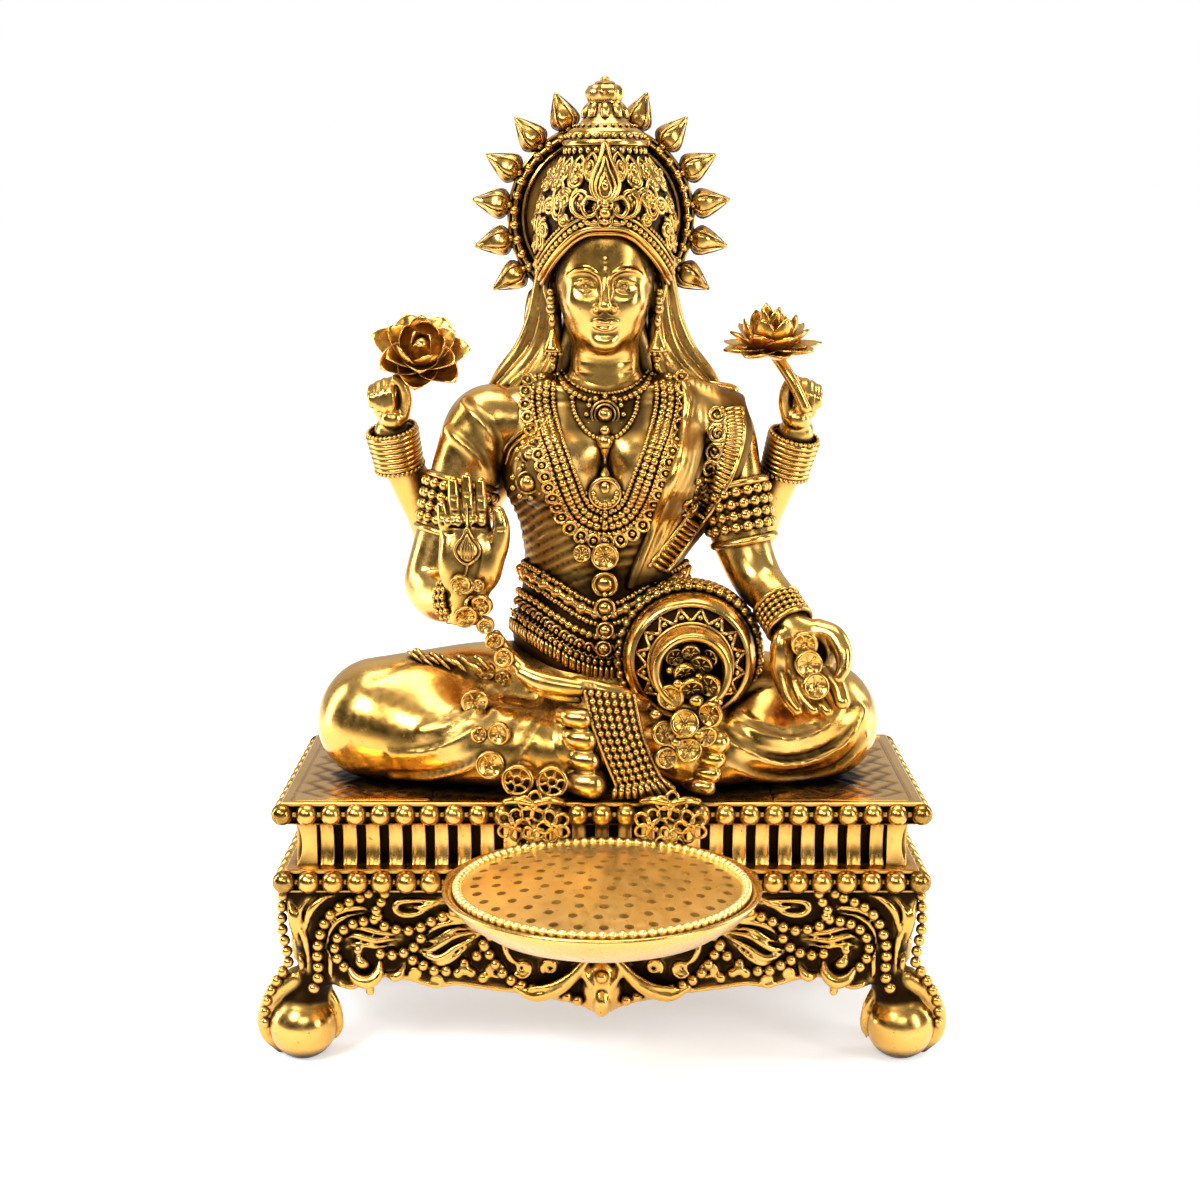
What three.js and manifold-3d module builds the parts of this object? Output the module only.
// A seated four-armed lakshmi figure in cast brass, on a footed plinth with an incense dish in front.
// Millimetres, +Z up, the figure faces -Y. The origin is the middle of the whole part's footprint, on the floor.
import * as THREE from 'three';
import { mergeVertices } from 'three/addons/utils/BufferGeometryUtils.js';
import Module from 'manifold-3d';

const wasm = await Module();
wasm.setup();

// Plinth: two slabs with a ribbed waist between them, aprons and four ball feet
const plinthWidth = 166;
const plinthDepth = 71;
const legHeight = 46;
const lowerSlabThickness = 6.5;
const waistHeight = 11.75;
const upperSlabThickness = 6.25;
const waistInset = 5.75;
const castWall = 3.5;
const topWall = 4.5;

// Bead rows on the slabs' edges
const upperBeadRadius = 2.6;
const lowerBeadRadius = 2.8;
const beadPitch = 6.36;
const beadSink = 0.4;

// Ribs round the waist
const ribWidth = 3.7;
const ribPitch = 5.98;
const ribDepth = 2;

// Aprons, legs and feet
const apronThickness = 3;
const apronInset = 1.6;
const apronRelief = 1.5;
const apronDrop = 33;
const legWidth = 15;
const legProud = 0.6;
const footRadius = 9;
const footFlat = 0.6;
const footInsetX = 4;
const footInsetY = 5.4;
const strapThickness = 2.3;

// Pierced clusters on the upper slab's front edge
const clusterOffset = 17.5;
const clusterLobe = 3.7;
const clusterThickness = 2;
const clusterDrop = 1.6;
const clusterSink = 0.3;

// Incense dish, its corbel and its perforated cover
const dishRadius = 38.5;
const dishDepth = 12.5;
const dishFootRadius = 17;
const dishWall = 1.8;
const dishLipHeight = 8.2;
const dishGap = 0.3;
const corbelWidth = 13;
const corbelReach = 31;
const corbelDrop = 20;
const corbelTip = 3;
const coverRise = 3.2;
const coverPlate = 1.3;
const coverBeadRadius = 1.5;
const coverGap = 0.3;
const coverHole = 2.4;
const coverHoleRows = 2;
const dishSides = 22;

// How far joined forms run into each other
const overlap = 0.5;

// Figure: a free form laid out on a grid of 184 units to its height, from the seat to the tip of the crown
const figureHeight = 183.5;
const figureGrid = 184;
const seatGap = 0.02;

// Derived levels of the plinth
const lowerSlabTop = legHeight + lowerSlabThickness;
const waistTop = lowerSlabTop + waistHeight;
const slabTop = waistTop + upperSlabThickness;
const waistHalfWidth = plinthWidth / 2 - waistInset + ribDepth;
const waistHalfDepth = plinthDepth / 2 - waistInset + ribDepth;
const footX = plinthWidth / 2 - footInsetX;
const footY = plinthDepth / 2 - footInsetY;
const footZ = footRadius - footFlat;

// The dish stands clear of the ribs at its back
const dishY = -(waistHalfDepth + dishGap + dishRadius);
const dishLip = lowerSlabTop + dishLipHeight;
const dishFloor = dishLip - dishDepth;

// The footprint's middle, from the dish's front edge to the back of the rear feet
const footprintShift = -(dishY - dishRadius + footY + footRadius) / 2;

// A closed three.js geometry as a solid
function solid(geometry) {
  const bare = geometry.clone();
  bare.deleteAttribute('normal');
  bare.deleteAttribute('uv');
  const merged = mergeVertices(bare, 1e-4);
  const index = merged.getIndex().array;
  const kept = [];
  for (let i = 0; i < index.length; i += 3) {
    const [a, b, c] = [index[i], index[i + 1], index[i + 2]];
    if (a !== b && b !== c && c !== a) kept.push(a, b, c);
  }
  const vertProperties = new Float32Array(merged.getAttribute('position').array);
  return new wasm.Manifold(new wasm.Mesh({ numProp: 3, vertProperties, triVerts: new Uint32Array(kept) }));
}

// A solid as a three.js geometry
function geometryOf(piece) {
  const mesh = piece.getMesh();
  const geometry = new THREE.BufferGeometry();
  geometry.setAttribute('position', new THREE.BufferAttribute(new Float32Array(mesh.vertProperties), 3));
  geometry.setIndex(new THREE.BufferAttribute(new Uint32Array(mesh.triVerts), 1));
  return geometry;
}

// Closed geometries joined into one
function join(geometries) {
  return geometryOf(geometries.map(solid).reduce((whole, piece) => whole.add(piece)));
}

// A geometry with others cut out of it
function cut(geometry, ...tools) {
  return geometryOf(tools.map(solid).reduce((whole, tool) => whole.subtract(tool), solid(geometry)));
}

// The mirror image of a geometry in the plane across an axis
function mirror(geometry, axis) {
  const image = geometryOf(solid(geometry)).scale(axis === 'x' ? -1 : 1, axis === 'y' ? -1 : 1, 1);
  const index = image.getIndex();
  for (let i = 0; i < index.count; i += 3) {
    const first = index.getX(i);
    index.setX(i, index.getX(i + 2));
    index.setX(i + 2, first);
  }
  return image;
}

// A geometry turned and then moved
function placed(geometry, [x, y, z], [turnX, turnY, turnZ] = [0, 0, 0]) {
  const turn = new THREE.Quaternion().setFromEuler(new THREE.Euler(turnX, turnY, turnZ));
  const unscaled = new THREE.Vector3(1, 1, 1);
  return geometry.applyMatrix4(new THREE.Matrix4().compose(new THREE.Vector3(x, y, z), turn, unscaled));
}

function box(width, depth, height, centre) {
  return placed(new THREE.BoxGeometry(width, depth, height), centre);
}

// An ellipsoid with few faces
function ellipsoid([x, y, z], [rx, ry, rz], sides = 8, rings = 6, turn = [0, 0, 0]) {
  const ball = new THREE.SphereGeometry(1, sides, rings).rotateX(Math.PI / 2).scale(rx, ry, rz);
  return placed(ball, [x, y, z], turn);
}

// A turned form about +Z: the outline is a list of radius and height, from the axis and back to it
function turned(outline, sides, centre = [0, 0, 0], turn = [0, 0, 0]) {
  const points = outline.map(([radius, height]) => new THREE.Vector2(radius, height));
  return placed(new THREE.LatheGeometry(points, sides).rotateX(Math.PI / 2), centre, turn);
}

// Stations spread evenly along a curve, one for each size
function evenly(sizes) {
  return sizes.map((size, i) => [i / (sizes.length - 1), ...(Array.isArray(size) ? size : [size])]);
}

// A tapering limb, fold or tube swept along a curve. Each station gives a share of the way along, the section's
// half width and its half depth along facing, which is the width again where it isn't given
function limb(spine, stations, sides = 8, facing = [0, 1, 0]) {
  const curve = new THREE.CatmullRomCurve3(spine.map((point) => new THREE.Vector3(...point)), false, 'centripetal');
  const geometry = new THREE.CylinderGeometry(1, 1, stations.length - 1, sides, stations.length - 1);
  const position = geometry.getAttribute('position');
  for (let i = 0; i < position.count; i++) {
    const [share, width, depth = width] = stations[Math.round(position.getY(i) + (stations.length - 1) / 2)];
    const tangent = curve.getTangent(share);
    const across = new THREE.Vector3().crossVectors(tangent, new THREE.Vector3(...facing)).normalize();
    const through = new THREE.Vector3().crossVectors(across, tangent);
    const point = curve.getPoint(share);
    point.addScaledVector(across, position.getX(i) * width).addScaledVector(through, position.getZ(i) * depth);
    position.setXYZ(i, point.x, point.y, point.z);
  }
  return geometry;
}

// Stations of a limb that carries rings: each ring stands proud of the sizes between a pair of shares
function ringed(sizes, rings, proud) {
  const plain = evenly(sizes);
  const sizeAt = (share) => {
    const step = Math.min(plain.findIndex(([reached]) => reached >= share), plain.length - 1);
    const [low, high] = [plain[Math.max(step - 1, 0)], plain[step]];
    const part = high[0] > low[0] ? (share - low[0]) / (high[0] - low[0]) : 0;
    return [1, 2].map((i) => THREE.MathUtils.lerp(low[i] ?? low[1], high[i] ?? high[1], part));
  };
  const edges = rings.flatMap(([from, to]) => [
    [from, ...sizeAt(from)], [from + 0.004, ...sizeAt(from).map((size) => size + proud)],
    [to - 0.004, ...sizeAt(to).map((size) => size + proud)], [to, ...sizeAt(to)]]);
  const outside = plain.filter(([share]) => !rings.some(([from, to]) => share >= from && share <= to));
  return [...outside, ...edges].sort((one, other) => one[0] - other[0]);
}

// Even places along a run, its ends included, as near the pitch as fits
function spread(halfLength, pitch) {
  const gaps = Math.max(1, Math.round(2 * halfLength / pitch));
  return Array.from({ length: gaps + 1 }, (_, i) => -halfLength + i * 2 * halfLength / gaps);
}

// A row of beads along a slab's front and side edges: the back edge is plain
function beadRow(level, radius) {
  const [halfX, halfY] = [plinthWidth / 2 - beadSink, plinthDepth / 2 - beadSink];
  const bead = (x, y) => placed(new THREE.OctahedronGeometry(radius), [x, y, level]);
  const beads = [];
  for (const x of spread(halfX, beadPitch)) beads.push(bead(x, -halfY));
  for (const y of spread(halfY, beadPitch).slice(1)) beads.push(bead(-halfX, y), bead(halfX, y));
  return join(beads);
}

// The waist's plan: grooves part the ribs on the front and the sides, and the back is plain
function waistOutline() {
  const points = [];
  const side = (halfLength, halfAcross, turn) => {
    const [sin, cos] = [Math.round(Math.sin(turn)), Math.round(Math.cos(turn))];
    const put = (along, out) => points.push(new THREE.Vector2(along * cos + out * sin, along * sin - out * cos));
    const places = spread(halfLength - ribWidth / 2, ribPitch);
    for (let i = 1; i < places.length; i++) {
      put(places[i - 1] + ribWidth / 2, halfAcross);
      put((places[i - 1] + places[i]) / 2, halfAcross - ribDepth);
      put(places[i] - ribWidth / 2, halfAcross);
    }
    put(halfLength, halfAcross);
  };
  side(waistHalfDepth, waistHalfWidth, -Math.PI / 2);
  side(waistHalfWidth, waistHalfDepth, 0);
  side(waistHalfDepth, waistHalfWidth, Math.PI / 2);
  points.push(new THREE.Vector2(-waistHalfWidth, waistHalfDepth));
  return new THREE.Shape(points);
}

function waist() {
  const ribs = new THREE.ExtrudeGeometry(waistOutline(), { depth: waistHeight + 2 * overlap, bevelEnabled: false });
  return placed(ribs, [0, 0, lowerSlabTop - overlap]);
}

// An apron's scalloped lower edge: depth below the slab against the share of the way out from its middle
const scallop = [
  [0, 1], [0.1, 0.95], [0.22, 0.87], [0.42, 0.8], [0.56, 0.77], [0.73, 0.69], [0.82, 0.72], [0.92, 0.8], [1, 0.79],
];

function apron(halfWidth) {
  const edge = scallop.map(([out, drop]) => new THREE.Vector2(out * halfWidth, -drop * apronDrop));
  const mirrored = edge.slice(1).map((point) => new THREE.Vector2(-point.x, point.y)).reverse();
  const top = [halfWidth, -halfWidth].map((x) => new THREE.Vector2(x, overlap));
  const shape = new THREE.Shape([...mirrored, ...edge, ...top]);
  const panel = new THREE.ExtrudeGeometry(shape, { depth: apronThickness, bevelEnabled: false });
  return panel.rotateX(Math.PI / 2);
}

// Carving on an apron's face: a shell in the middle, leaves and a scroll on each side
function apronCarving(halfWidth, leaves) {
  const pieces = [];
  const face = -apronThickness;
  for (const mirror of [-1, 1]) {
    const at = (out, drop, proud = 0) => [mirror * out * halfWidth, face - proud, -drop * apronDrop];
    pieces.push(limb(
      [at(0.93, 0.05), at(0.86, 0.3, 0.6), at(0.98, 0.62, 0.6), at(0.84, 0.66, 0.6), at(0.78, 0.42, 0.6)],
      evenly([1.4, 1.5, 1.5, 1.2, 1]), 4));
    for (let leaf = 0; leaf < leaves; leaf++) {
      const out = 0.14 + leaf * 0.62 / leaves;
      pieces.push(limb(
        [at(out + 0.22, 0.12), at(out + 0.12, 0.45, 0.8), at(out, 0.78)],
        evenly([0, [2.2, apronRelief], 0]), 4));
    }
  }
  pieces.push(ellipsoid([0, face, -0.8 * apronDrop], [4.6, 2.6, 6.4], 6, 4));
  for (const lean of [-1, 1]) {
    const frond = [[3, face, -0.9], [9, face - 0.8, -0.72], [15, face, -0.78]];
    pieces.push(limb(frond.map(([x, y, drop]) => [lean * x, y, drop * apronDrop]), evenly([0.8, [2.2, 1.8], 0]), 4));
  }
  return join(pieces);
}

// One leg with its ball foot held between an outer strap and an inner claw, at the front right corner
function leg() {
  const kneeX = plinthWidth / 2 + legProud - legWidth / 2;
  const kneeY = -(plinthDepth / 2 - apronInset - legWidth / 2);
  const knee = [kneeX, kneeY, legHeight + overlap];
  const shin = [kneeX - 0.4, kneeY + 0.2, 0.6 * legHeight];
  const ankle = [footX - 1, 1 - footY, footZ + 0.5 * footRadius];
  const post = limb([knee, shin, ankle], evenly([0.72 * legWidth, 0.66 * legWidth, 0.56 * legWidth]), 5);
  const ball = ellipsoid([footX, -footY, footZ], [footRadius, footRadius, footRadius], 8, 6);
  const strapX = footX + footRadius + strapThickness / 2;
  const strap = limb(
    [[footX + 0.5 * footRadius, -footY, footZ + 1.5 * footRadius], [strapX, -footY, footZ + 0.4 * footRadius],
      [strapX - 1.6, -footY, footZ - 0.75 * footRadius]],
    evenly([3.4, [2.9, strapThickness], 0.6]), 4);
  const clawX = footX - footRadius;
  const claw = limb(
    [[clawX + 2, -footY, footZ + 1.45 * footRadius], [clawX, -footY, footZ + 0.5 * footRadius],
      [clawX + 0.6, -footY, footZ - 0.6 * footRadius]],
    evenly([3, [2.6, 2], 0]), 4);
  return join([post, ball, strap, claw]);
}

// A solid repeated in all four corners of the plinth
function atFourCorners(piece) {
  const right = join([piece, mirror(piece, 'y')]);
  return join([right, mirror(right, 'x')]);
}

// Two pierced ring-flower clusters that hang over the front edge of the upper slab
function edgeClusters() {
  const lobes = [[-6, 0], [-3.6, -4], [3.6, -4], [6, 0], [0, 3.4]];
  const pieces = [];
  for (const side of [-1, 1]) {
    const outline = new THREE.Shape(lobes.flatMap(([x, z], lobe) => {
      const outward = Math.atan2(z + 1, x);
      const turn = lobe === lobes.length - 1 ? 0.9 : 0.8;
      return [-turn, 0, turn].map((lean) => new THREE.Vector2(
        x + clusterLobe * Math.cos(outward + lean), z + clusterLobe * Math.sin(outward + lean)));
    }));
    for (const [x, z] of lobes) {
      const hole = new THREE.Path();
      hole.setFromPoints([[1, 0], [0, 1], [-1, 0], [0, -1]].map(([across, up]) => new THREE.Vector2(
        x + 0.5 * clusterLobe * across, z + 0.5 * clusterLobe * up)));
      outline.holes.push(hole);
    }
    const plate = new THREE.ExtrudeGeometry(outline, { depth: clusterThickness, bevelEnabled: false });
    const place = [side * clusterOffset, clusterSink - plinthDepth / 2, slabTop - clusterDrop];
    pieces.push(placed(plate, place, [Math.PI / 2, 0, 0]));
  }
  return join(pieces);
}

// A curved corbel on the front apron, under the dish's foot
function corbel() {
  const wallY = overlap - plinthDepth / 2 + apronInset;
  const topZ = dishFloor - dishGap;
  const shape = new THREE.Shape();
  shape.moveTo(0, topZ);
  shape.lineTo(0, topZ - corbelDrop);
  shape.quadraticCurveTo(0.35 * corbelReach, topZ - 0.4 * corbelDrop, corbelReach, topZ - corbelTip);
  shape.lineTo(corbelReach, topZ);
  const geometry = new THREE.ExtrudeGeometry(shape, { depth: corbelWidth, bevelEnabled: false, curveSegments: 4 });
  geometry.translate(0, 0, -corbelWidth / 2);
  const turn = new THREE.Matrix4().makeBasis(
    new THREE.Vector3(0, -1, 0), new THREE.Vector3(0, 0, 1), new THREE.Vector3(-1, 0, 0));
  return placed(geometry.applyMatrix4(turn), [0, wallY, 0]);
}

// The plinth as one casting, hollow from below
function makePlinth() {
  const slab = (thickness, middle) => box(plinthWidth, plinthDepth, thickness, [0, 0, middle]);
  const apronHalfX = plinthWidth / 2 - legWidth;
  const apronHalfY = plinthDepth / 2 - legWidth;
  const frontY = -(plinthDepth / 2 - apronInset - apronThickness);
  const sideX = plinthWidth / 2 - apronInset - apronThickness;
  const pieces = [
    slab(upperSlabThickness, slabTop - upperSlabThickness / 2),
    slab(lowerSlabThickness, lowerSlabTop - lowerSlabThickness / 2),
    waist(),
    beadRow(slabTop - upperSlabThickness / 2, upperBeadRadius),
    beadRow(lowerSlabTop - lowerSlabThickness / 2, lowerBeadRadius),
  ];
  const front = join([apron(apronHalfX), apronCarving(apronHalfX, 4)]).translate(0, frontY, legHeight);
  const back = mirror(apron(apronHalfX).translate(0, frontY, legHeight), 'y');
  const side = placed(apron(apronHalfY), [sideX, 0, legHeight], [0, 0, Math.PI / 2]);
  pieces.push(front, back, side, mirror(side, 'x'), corbel(), edgeClusters());
  const well = box(
    2 * (waistHalfWidth - ribDepth - castWall), 2 * (waistHalfDepth - ribDepth - castWall), slabTop - topWall,
    [0, 0, (slabTop - topWall) / 2]);
  const floor = box(4 * plinthWidth, 4 * plinthDepth, plinthWidth, [0, 0, -plinthWidth / 2]);
  return cut(join([cut(join(pieces), well), atFourCorners(leg())]), floor);
}

// The dish: a saucer with a plain foot, open above
function makeDish() {
  const lipOut = dishRadius;
  const outline = [
    [0, dishFloor], [dishFootRadius, dishFloor], [0.8 * lipOut, dishFloor + 0.5 * dishDepth], [lipOut, dishLip - 1.2],
    [lipOut, dishLip], [lipOut - dishWall, dishLip], [0.8 * lipOut - 0.4, dishFloor + 0.5 * dishDepth + dishWall],
    [dishFootRadius - 0.6, dishFloor + dishWall], [0, dishFloor + dishWall],
  ];
  return turned(outline, dishSides, [0, dishY, 0]);
}

// The cover: a domed plate with a bead ring at its rim, pierced in rings of holes, seated on the dish's slope
const coverRadius = dishRadius - dishWall - coverBeadRadius - 3 * coverGap;
const coverSeat = dishLip - 1.1 + coverBeadRadius;

function makeCover() {
  const rim = coverRadius + coverBeadRadius;
  const inner = coverRadius - coverBeadRadius;
  const outline = [
    [0, coverSeat + coverRise - coverPlate], [0.6 * inner, coverSeat + 0.62 * coverRise - coverPlate],
    [inner, coverSeat - coverPlate], [coverRadius, coverSeat - coverBeadRadius], [rim, coverSeat],
    [coverRadius, coverSeat + coverBeadRadius], [inner, coverSeat], [0.6 * inner, coverSeat + 0.62 * coverRise],
    [0, coverSeat + coverRise],
  ];
  const holes = [];
  for (let row = 1; row <= coverHoleRows; row++) {
    const radius = row * inner / (coverHoleRows + 0.7);
    const count = 5 * row;
    for (let hole = 0; hole < count; hole++) {
      const angle = hole * 2 * Math.PI / count;
      const punch = new THREE.CylinderGeometry(coverHole / 2, coverHole / 2, 4 * coverRise, 4).rotateX(Math.PI / 2);
      const place = [radius * Math.cos(angle), dishY + radius * Math.sin(angle), coverSeat];
      holes.push(placed(punch, place, [0, 0, angle]));
    }
  }
  return cut(turned(outline, dishSides, [0, dishY, 0]), ...holes);
}

// Figure, in grid units: x to the viewer's right, y away from the viewer, z up from the seat
const midline = 0.8;

// A point list mirrored in the figure's midline
const mirrored = (points) => points.map(([x, y, z]) => [2 * midline - x, y, z]);

function torso() {
  const m = midline;
  const spine = [
    [m, 5, 1], [m, 5, 14], [m, 4, 30], [m, 3, 50], [m, 1, 74], [m, 2, 88], [m, 3, 98], [m, 2.6, 106], [m, 2, 118],
  ];
  const sizes = [[24, 18], [27, 20], [24, 16], [21.5, 13], [25.5, 14.5], [28, 13.6], [22, 11], [9.6, 9], [8.8, 8.8]];
  const belt = [0.33, 0.39];
  const chest = [m - 13.5, m + 13.5].map((x) => ellipsoid([x, -10.5, 77], [10.5, 10, 10], 7, 4));
  return [limb(spine, ringed(sizes, [belt], 1.6), 9), ...chest];
}

function head() {
  const m = midline;
  const pieces = [
    ellipsoid([m, 0.5, 131], [12.3, 13.8, 18.2], 9, 7),
    limb([[m, -11.5, 134], [m, -14.4, 128], [m, -12, 125.6]], evenly([0, [2.1, 2], 0]), 4),
    limb([[m - 4.8, -8.6, 120.6], [m, -10.8, 119.8], [m + 4.8, -8.6, 120.6]], evenly([0, 1.3, 0]), 4, [0, 0, 1]),
  ];
  for (const side of [-1, 1]) {
    const earring = [[0, -13], [1.1, -8], [2.7, -6.8], [1.4, -2.6], [1.9, 2], [0, 4]];
    const brow = [[2.6, -12, 132], [5.4, -12.2, 132.4], [8.4, -9.6, 132]];
    pieces.push(limb(brow.map(([x, y, z]) => [m + side * x, y, z]), evenly([0, 1.4, 0]), 4));
    pieces.push(ellipsoid([m + side * 13.6, 3, 128.5], [2.4, 3.4, 6.4], 5, 3));
    pieces.push(turned(earring, 5, [m + side * 14.2, 1.6, 121]));
  }
  return pieces;
}

function hair() {
  const fall = [[-14, 6, 136], [-19.5, 8.5, 124], [-25, 9, 111], [-34, 6, 98]];
  const sizes = evenly([[2.6, 3.4], [3.4, 4.4], [3.2, 3.6], 0]);
  const back = [[midline, 10, 142], [midline, 14, 120], [midline, 16.5, 90], [midline, 15.5, 62]];
  return [
    limb(fall, sizes, 5), limb(mirrored(fall), sizes, 5), limb(back, evenly([[13, 6], [16, 6], [16, 4.4], 0]), 6),
  ];
}

function crown() {
  const m = midline;
  const outline = [
    [0, 132], [18.6, 132], [19, 142], [17.2, 154], [11.4, 162.4], [11.4, 166], [4.4, 175.8], [5.2, 179.6], [0, 184],
  ];
  const cap = turned(outline, 11, [m, 2, 0]);
  const opening = new THREE.Shape();
  opening.moveTo(-13, 120);
  opening.lineTo(13, 120);
  opening.lineTo(15.5, 134);
  opening.quadraticCurveTo(10, 144, 0, 145.5);
  opening.quadraticCurveTo(-10, 144, -15.5, 134);
  const faceCut = new THREE.ExtrudeGeometry(opening, { depth: 17, bevelEnabled: false, curveSegments: 2 });
  const arch = [
    [m - 17, -5, 133.5], [m - 12.5, -11, 140], [m, -16.6, 145.6], [m + 12.5, -11, 140], [m + 17, -5, 133.5],
  ];
  const ornaments = [limb(arch, evenly([1.6, 1.6, 1.6, 1.6]), 4)];
  for (const [turn, height, width] of [[0, 21, 4.8], [-0.85, 13, 4.6], [0.85, 13, 4.6]]) {
    const foot = 146 - 6 * Math.abs(turn);
    const leaf = (out, up) => [m + out * Math.sin(turn), 2 - out * Math.cos(turn), foot + up];
    const radial = [Math.sin(turn), -Math.cos(turn), 0];
    const tipReach = height > 20 ? 13 : 17;
    const spine = [leaf(18, 0), leaf(19, 0.4 * height), leaf(tipReach, height)];
    ornaments.push(limb(spine, evenly([1.2, [width, 2.2], 0]), 4, radial));
  }
  return [cut(cap, placed(faceCut, [m, -4, 0], [Math.PI / 2, 0, 0])), ...ornaments];
}

// The halo: a beaded ring with pointed buds round its edge, and a thin plate inside it
function halo() {
  const centre = [-0.2, 12.5, 147.5];
  const budStep = 20.5 * Math.PI / 180;
  const [rootRadius, bulbRadius, tipRadius, bulbHalf] = [23.8, 27.8, 34.6, 0.135];
  const points = [];
  const put = (angle, radius) => points.push(new THREE.Vector2(radius * Math.sin(angle), radius * Math.cos(angle)));
  for (let place = -7; place <= 7; place++) {
    const angle = place * budStep;
    put(angle - bulbHalf, bulbRadius);
    put(angle, tipRadius);
    put(angle + bulbHalf, bulbRadius);
    put(angle + 0.5 * budStep, rootRadius);
  }
  const buds = new THREE.ExtrudeGeometry(new THREE.Shape(points), { depth: 2.8, bevelEnabled: false });
  const ring = turned([[20.8, 1], [24.4, 1], [22.6, 4], [20.8, 1]], 16);
  return [placed(join([buds, ring]), [centre[0], centre[1] + 1.4, centre[2]], [Math.PI / 2, 0, 0])];
}

// A finger from its root to a blunt tip
function finger(points, thickness) {
  return limb(points, evenly([thickness, thickness, 0]), 4);
}

function frontRightArm() {
  return [limb(
    [
      [-20, 4, 99], [-30, 4, 95.4], [-38.4, 2, 84], [-42.4, 1, 68], [-45.6, -2, 53], [-41.4, -12, 50.6],
      [-35.6, -19.6, 52],
    ],
    ringed([3, 8.6, 10.2, 8.8, [7.8, 8.4], 6.8, 5], [[0.46, 0.54]], 1.5), 7)];
}

function raisedHand() {
  const y = -21.5;
  const fingers = [[-40.4, 68, 78, 1.7], [-37, 70, 84, 1.8], [-33.4, 70, 85.6, 1.8], [-29.8, 70, 84.4, 1.8]];
  return [
    limb([[-35.5, y + 2, 50], [-33.4, y, 60], [-34.4, y - 1, 72]], evenly([[5, 4.4], [8, 4.2], [8.2, 2.6]]), 6),
    ...fingers.map(([x, low, high, thick]) => finger(
      [[x, y - 1, low], [x - 0.4, y - 0.8, high - 3], [x - 0.5, y - 0.4, high]], thick)),
    finger([[-28, y, 57], [-26, y - 1.8, 69], [-26.2, y - 2, 76]], 2.9),
    limb([[-33.6, y - 3, 69.6], [-33.2, y - 4.2, 64.6], [-33.2, y - 3, 59]], evenly([0, [3.2, 1.4], 0]), 4),
  ];
}

function frontLeftArm() {
  const fingertips = [[47.2, -27, 21.6], [52.6, -28.6, 19.6], [58, -28, 21.2]];
  return [
    limb([[21, 4, 99], [30.6, 4, 95.4], [36.4, 2, 84], [38.4, 1, 70], [42, -3, 58], [49, -15, 44], [53.2, -25, 26]],
      ringed([3, 8.6, 10, 8.8, 7.8, 5.2, [8, 2.8]], [[0.42, 0.58]], 1.5), 7),
    ellipsoid([53, -22, 33], [9.4, 4.6, 8.6], 6, 4),
    ...fingertips.map(([x, y, z]) => finger([[x + 0.2, -23.6, 30], [x, y, z + 4], [x, y - 1.4, z]], 2.6)),
    finger([[57, -19.6, 40.4], [61.6, -24, 38], [61.4, -27.4, 31.6]], 3),
    turned([[0, -1], [4.4, -1], [4.4, 1], [0, 1]], 6, [52.4, -26.4, 36], [1.25, 0, 0]),
  ];
}

// A back arm: behind the shoulder, down to the elbow and up to a fist that holds a lotus stem
function backArm(shoulder, elbow, wrist, fist) {
  return [
    limb([shoulder, elbow, wrist, fist], ringed([8.6, 8, 6.6, 4.8, 4.4], [[0.72, 0.85]], 1.8), 6),
    ellipsoid(fist, [6.2, 6.8, 7.4], 6, 5),
  ];
}

// A cup of pointed petals in one piece, each with a tip and two shoulders, that reach out and up
function petalCup(count, reach, rise, depth) {
  const cup = new THREE.CylinderGeometry(1, 1, 2, 3 * count, 2);
  const position = cup.getAttribute('position');
  for (let i = 0; i < position.count; i++) {
    const angle = Math.atan2(position.getX(i), position.getZ(i));
    const onRim = Math.hypot(position.getX(i), position.getZ(i)) > 0.5;
    const isTip = Math.round(angle / (2 * Math.PI / (3 * count))) % 3 === 0;
    const level = Math.round(position.getY(i)) + 1;
    const radius = onRim ? [0.3, isTip ? 1 : 0.66, 0.4][level] * reach : 0;
    const height = [0, isTip ? rise : 0.6 * rise, depth][level];
    position.setXYZ(i, radius * Math.sin(angle), -radius * Math.cos(angle), height);
  }
  return cup;
}

// A lotus about a direction: a cup of petals round a bud, on a stem
function lotus(centre, along, stem) {
  const direction = new THREE.Vector3(...along).normalize();
  const turn = new THREE.Quaternion().setFromUnitVectors(new THREE.Vector3(0, 0, 1), direction);
  const pieces = [petalCup(7, 13.4, 6.4, 3), turned([[0, 2], [6.4, 6], [4.6, 11], [0, 13.4]], 6)];
  const flower = pieces.map((piece) => piece.applyQuaternion(turn).translate(...centre));
  return [...flower, limb(stem, evenly([1.7, 1.6, 1.6]), 4)];
}

function legs() {
  const thigh = [[-10, 5, 17], [-34, -1, 17.6], [-58, -6, 16], [-75, -8, 15.4]];
  const shin = [[-68, -8, 14.8], [-56, -12, 14.4], [-34, -18.6, 13.4], [-8, -23, 11.6]];
  const fold = (y, z) => [[-66, y - 4, z + 2], [-52, y - 9, z - 3], [-34, y - 12, z - 3], [-18, y - 9, z + 4]];
  const folds = [fold(-9, 12), fold(-7, 19), fold(-3, 27)];
  const pieces = [];
  for (const sideOf of [(points) => points, mirrored]) {
    pieces.push(limb(sideOf(thigh), [[0, 16.4], [0.36, 17], [0.72, 16], [0.93, 9.6], [1, 0]], 8, [0, 0, 1]));
    pieces.push(limb(sideOf(shin), [[0, 6, 7], [0.2, 12.6, 13.8], [0.6, 12.2, 12.6], [1, 10, 10.4]], 8, [0, 0, 1]));
    for (const path of folds) pieces.push(limb(sideOf(path), evenly([0, 1.7, 1.8, 0]), 4));
  }
  const lap = ellipsoid([midline, -6, 13], [32, 20, 12], 8, 4);
  return [...pieces, lap];
}

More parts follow.
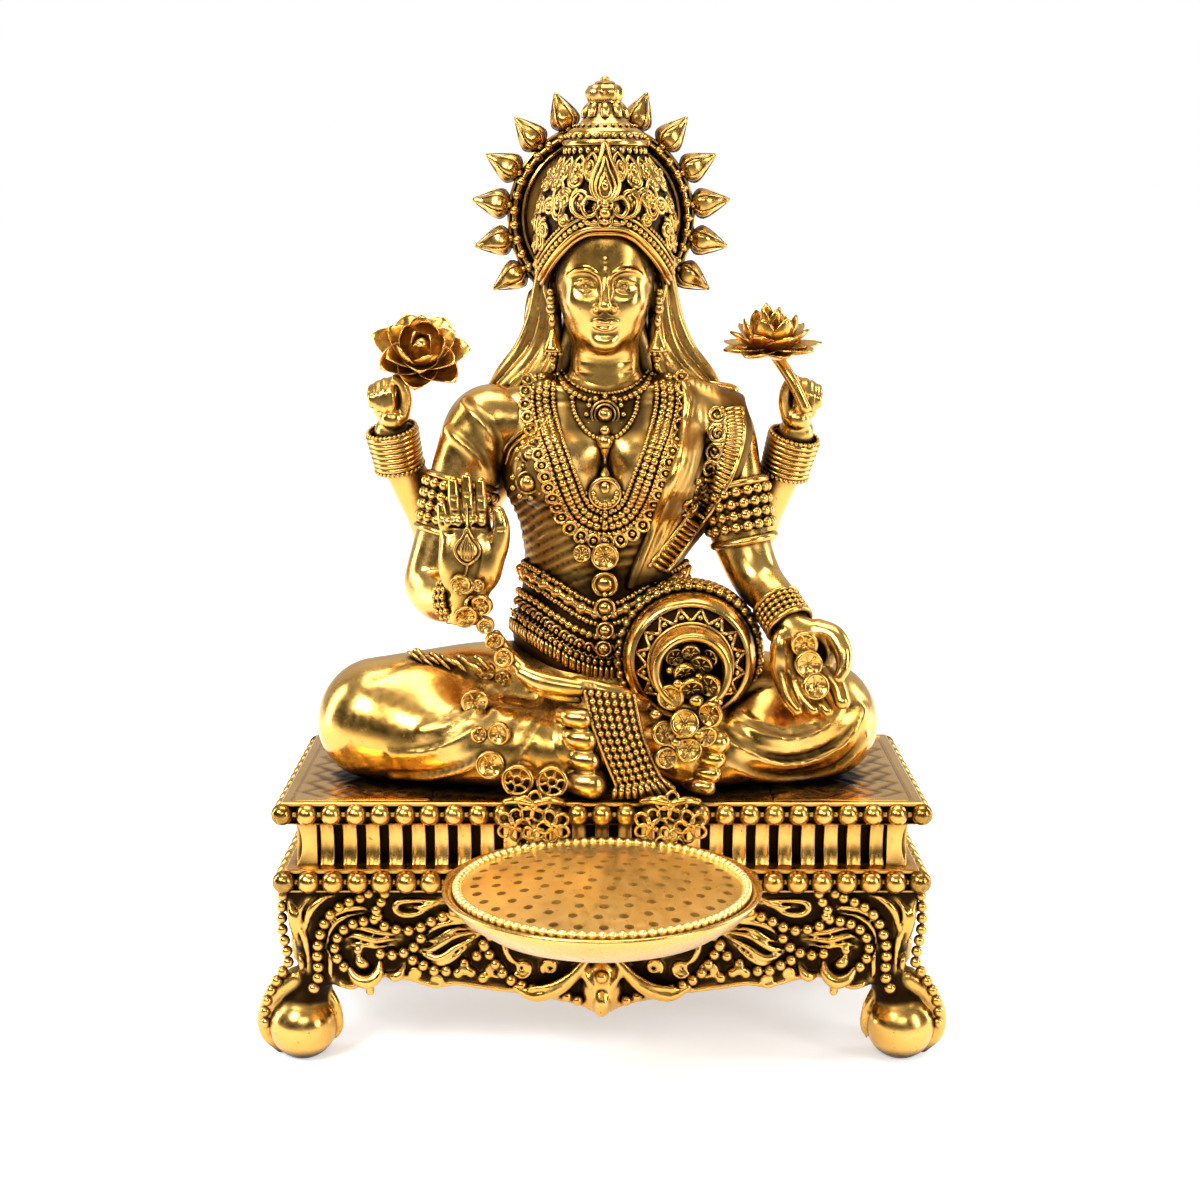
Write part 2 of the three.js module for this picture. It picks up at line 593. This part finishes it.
// A bare foot seen toes first, its toes one above the other down its front
function foot([x, y, z], lean, size) {
  const toe = (place) => {
    const [at, high, thick] = [x + lean * (1 - place), z + (6.6 - 6 * place) * size, (2.7 + 0.4 * place) * size];
    const half = 5 * size;
    const spine = [[at - half, y - 3, high], [at, y - 7.4 * size, high], [at + half, y - 3, high]];
    return limb(spine, evenly([0, thick, 0]), 4);
  };
  const instep = limb([[x - 14 * lean, y + 5, z], [x, y - 3 * size, z]], evenly([[8, 6], [9.5 * size, 3.6]]), 6);
  return [instep, ...[0, 1, 2].map(toe)];
}

function feet() {
  return [...foot([-3.6, -29.4, 11.4], -1, 1), ...foot([28.6, -28.6, 9.4], 1, 0.82)];
}

function drapery() {
  const m = midline;
  const shawl = [[33, 6, 102], [29, -12, 90], [21.5, -18, 70], [11, -14, 47]];
  const shawlBehind = [[33, 6, 102], [25, 16, 78], [8, 17, 50], [-4, 19, 36]];
  const pleats = [[68, 14], [60, 10]];
  return [
    limb(shawl, evenly([[6, 2.4], [6.8, 2.6], [6.8, 2.4], [6, 2.2], [3.6, 1.6]]), 4),
    limb(shawlBehind, evenly([[6, 2.4], [7, 2.4], [6.6, 2.2], [5, 1.6]]), 4),
    limb([[-24, -22, 28], [-8, -27.8, 25.6], [14, -27, 20]], evenly([2.4, 3.2, 2.4]), 5),
    limb([[3, -27.6, 26], [7, -31.6, 14], [11, -33, 1]], evenly([[5, 1.8], [5.6, 2], [7, 2]]), 4),
    ...pleats.map(([z, reach]) => limb(
      [[m - 21, -2, z - 2], [m - 12, -12, z - 4], [m - 14 + reach, -12.4, z + 2]], evenly([0, 1.7, 0]), 4)),
  ];
}

function jewellery() {
  const m = midline;
  const pieces = [];
  for (const side of [-1, 1]) {
    pieces.push(limb(
      [[m + side * 16, 2, 105], [m + side * 16, -9, 97], [m + side * 10, -18.6, 81], [m, -17, 65.4]],
      evenly([[3.4, 1.8], [3.8, 2], [3.9, 2.2], [4, 2.2]]), 4));
  }
  for (const [y, z, r] of [[-8.6, 98.6, 3.6], [-11, 91.6, 3], [-13, 77.6, 4], [-12.2, 59, 4], [-12.6, 47, 3.4]]) {
    pieces.push(ellipsoid([m, y, z], [r, 2.4, r], 5, 3));
  }
  for (let drop = -2; drop <= 2; drop++) {
    const angle = drop * 0.4;
    const at = (out, z) => [m + 24.6 * out * Math.sin(angle), 4 - 16 * out * Math.cos(angle), z];
    pieces.push(limb([at(0.9, 43), at(1.02, 37), at(0.98, 32)], evenly([0, [2, 1.4], 0]), 4));
  }
  return pieces;
}

// The pot lies on the lap with its mouth to the front
function pot() {
  const [x, back, z] = [23, -3, 34.4];
  const outline = [
    [0, 0], [12, 2], [17, 10], [16, 19], [9, 26.4], [10.2, 30], [10.2, 31.6], [7.6, 31.6], [6.8, 24], [0, 23],
  ];
  const garland = [];
  for (let i = 0; i <= 6; i++) {
    const angle = -0.15 * Math.PI + i * 1.3 * Math.PI / 6;
    garland.push([x + 17.6 * Math.cos(angle), back - 11, z + 17.6 * Math.sin(angle)]);
  }
  return [turned(outline, 11, [x, back, z], [Math.PI / 2, 0, 0]), limb(garland, evenly(garland.map(() => 2.5)), 4)];
}

// Coins: those that pour from the pot, and the chain that falls from the raised hand
function coins() {
  const disc = ([x, y, z], radius, lean) => turned(
    [[0, -1], [radius, -1], [radius, 1], [0, 1]], 6, [x, y, z], [Math.PI / 2 - 0.2, lean, 0]);
  return [
    disc([24.4, -34.6, 28.6], 3.8, -0.3), disc([19, -34.4, 20.4], 3.8, 0.4), disc([18.6, -32.9, 7], 3.6, 0.2),
    disc([-32.4, -23.4, 32.6], 3.8, 0.1), disc([-22, -32, 4.6], 4.2, 0), disc([-12.8, -32.4, 4.6], 4.2, 0),
    limb([[-34, -24, 51], [-27, -25, 42], [-30, -23.4, 32]], evenly([2, 2.6, 2]), 4),
    limb([[-31, -25, 31], [-26, -30.6, 18], [-24, -31.4, 2.4]], evenly([1.6, 2, 1.6]), 4),
    limb([[22, -32, 30], [20, -32.4, 16], [16.5, -32.6, 1]], evenly([[4, 2.2], [4.4, 2.2], [5, 2.2]]), 5),
  ];
}

function makeFigure() {
  const unit = figureHeight / figureGrid;
  const parts = [
    torso(), head(), crown(), hair(), halo(), frontRightArm(), raisedHand(), frontLeftArm(),
    backArm([-30, 9, 90], [-47.6, 16, 57], [-55, 10, 82], [-57, 6, 98]),
    backArm([31.6, 9, 90], [43.6, 16, 57], [50.4, 10, 81], [52.8, 6, 98]),
    lotus([-48.6, 7, 109.6], [0.2, -0.8, 0.62], [[-56, 3, 97], [-54, 4, 104], [-48.6, 7.6, 109.4]]),
    lotus([44.6, 4, 111.6], [-0.05, -0.12, 1], [[54.6, 2, 98], [50, 1.6, 106], [45, 4, 112.4]]),
    legs(), feet(), drapery(), jewellery(), pot(), coins(),
  ];
  const whole = join(parts.map(join)).scale(unit, unit, unit);
  const under = box(2 * plinthWidth, 2 * plinthWidth, plinthWidth, [0, 0, -plinthWidth / 2]);
  return cut(whole, under).translate(0, 0, slabTop + seatGap);
}

// A named node in its own finish, moved so that the footprint's middle is the origin
function node(name, geometry, color, roughness) {
  const material = new THREE.MeshStandardMaterial({ color, roughness, metalness: 1 });
  const mesh = new THREE.Mesh(geometry.translate(0, footprintShift, 0), material);
  mesh.name = name;
  return mesh;
}

const lakshmi = new THREE.Group();
lakshmi.add(node('figure', makeFigure(), 0xc9962e, 0.28));
lakshmi.add(node('plinth', makePlinth(), 0xb98a2c, 0.32));
lakshmi.add(node('incense_dish', makeDish(), 0xc4943a, 0.26));
lakshmi.add(node('perforated_cover', makeCover(), 0xcd9d3c, 0.24));

export default lakshmi;
